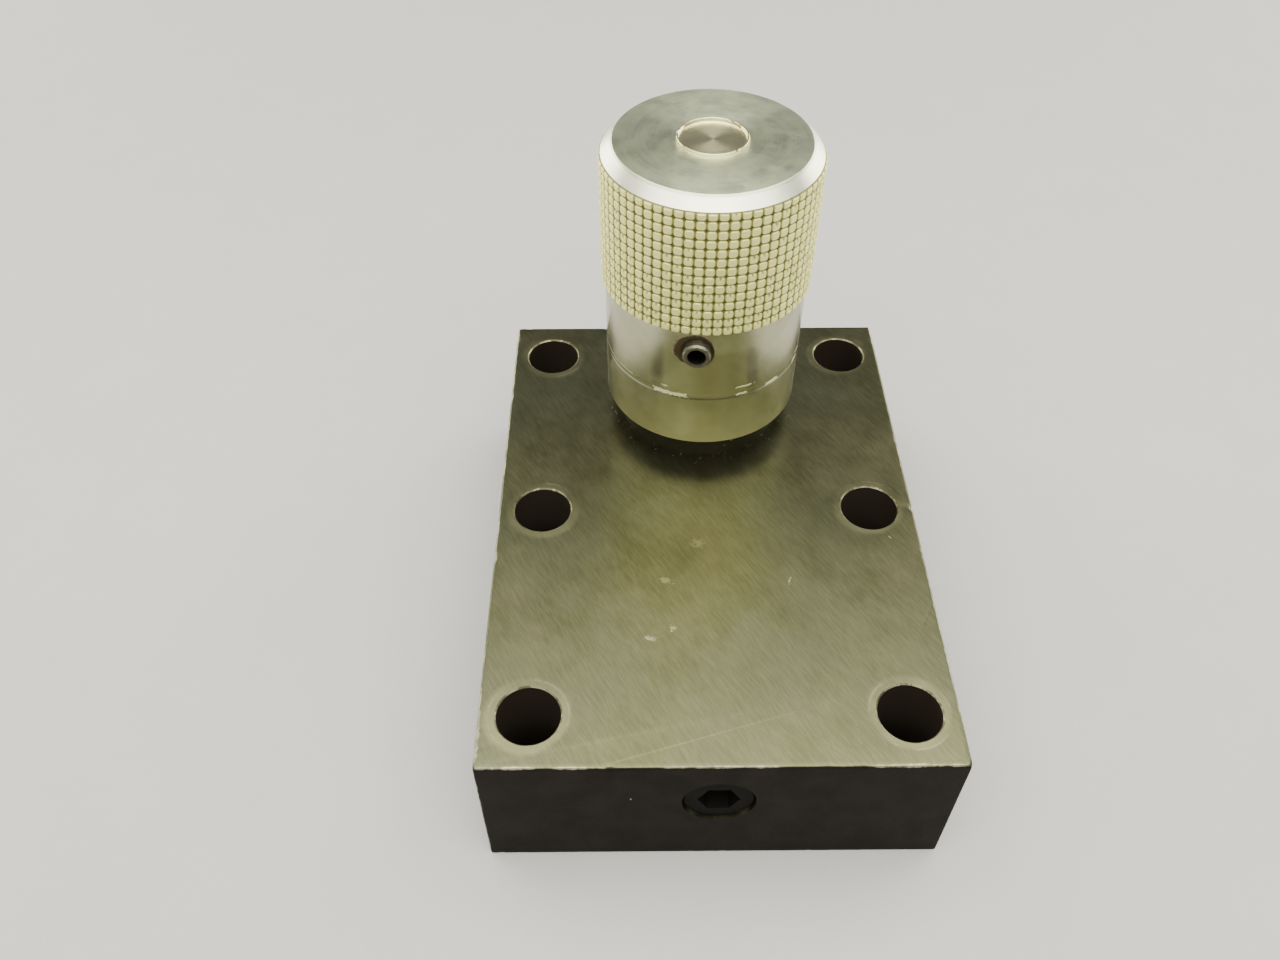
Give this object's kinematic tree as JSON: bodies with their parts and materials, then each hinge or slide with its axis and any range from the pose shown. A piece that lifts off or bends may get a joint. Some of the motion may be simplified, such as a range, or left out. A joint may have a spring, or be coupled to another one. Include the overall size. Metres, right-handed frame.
{
  "type": "throttle and check valve",
  "caption": "Subplate-mounted hydraulic throttle and check valve: a black steel block with through bolt holes and face ports, set by a knurled aluminium knob with a lock screw.",
  "frame": {"origin": "centre of the block's bottom (mounting) face", "axes": "+Z away from the mounting face along the knob's axis, +Y along the block from the plug end to the knob end, +X across"},
  "size_m": [0.076, 0.1046, 0.0881],
  "materials": {
    "block_steel": "black oxide, ground",
    "bonnet_steel": "black oxide, turned",
    "plug_steel": "black oxide",
    "screw_steel": "black oxide, worn",
    "hard_steel": "hardened and ground",
    "bright_steel": "turned, oiled",
    "spring_steel": "drawn wire",
    "cap_steel": "turned face",
    "knob_aluminium": "turned and knurled, worn",
    "pad_brass": "plain",
    "seal_rubber": "matte",
    "seal_plastic": "plain"
  },
  "bodies": {
    "housing": {"body_block": "block_steel", "front_plug": "plug_steel", "seat_ring": "hard_steel", "bonnet": "bonnet_steel", "guide_pin": "hard_steel", "bonnet_o_ring": "seal_rubber", "seal_bush": "bright_steel", "stem_o_ring": "seal_rubber", "stem_backup_ring": "seal_plastic", "bush_o_ring": "seal_rubber", "check_spring": "spring_steel", "port_seal_a": "seal_rubber", "port_seal_b": "seal_rubber"},
    "piston": {"throttle_piston": "hard_steel"},
    "knob": {"knob": "knob_aluminium", "spindle": "bright_steel", "stop_ring": "spring_steel", "drive_key": "bright_steel", "fixing_washer": "bright_steel", "fixing_screw": "screw_steel", "cover_cap": "cap_steel"},
    "check": {"check_sleeve": "hard_steel"},
    "lock_pad": {"lock_pad": "pad_brass"},
    "lock_screw": {"lock_screw": "screw_steel"}
  },
  "joints": [
    {"name": "throttle_lift", "type": "slide", "parent": "housing", "child": "piston", "axis": [0, 0, 1], "range_m": [-0.0052, 0.0028]},
    {"name": "knob_turn", "type": "hinge", "parent": "piston", "child": "knob", "pos_m": [0, 0.02935, 0], "axis": [0, 0, 1], "range_deg": [-1248, 672]},
    {"name": "check_lift", "type": "slide", "parent": "housing", "child": "check", "axis": [0, 0, 1], "range_m": [0, 0.003], "stiffness_N_per_m": 1500, "springref_m": -0.002, "deforming": ["check_spring"]},
    {"name": "lock_pad_slide", "type": "slide", "parent": "knob", "child": "lock_pad", "axis": [-0.1219, -0.9925, 0], "range_m": [-0.00028, 0.001]},
    {"name": "lock_screw_turn", "type": "hinge", "parent": "lock_pad", "child": "lock_screw", "pos_m": [0, 0.02935, 0.0571], "axis": [-0.1219, -0.9925, 0], "range_deg": [-126, 450]}
  ],
  "couplings": [
    {"joint": "knob_turn", "follows": "throttle_lift", "rad_per_m": 4188.8},
    {"joint": "lock_screw_turn", "follows": "lock_pad_slide", "rad_per_m": 7854}
  ]
}
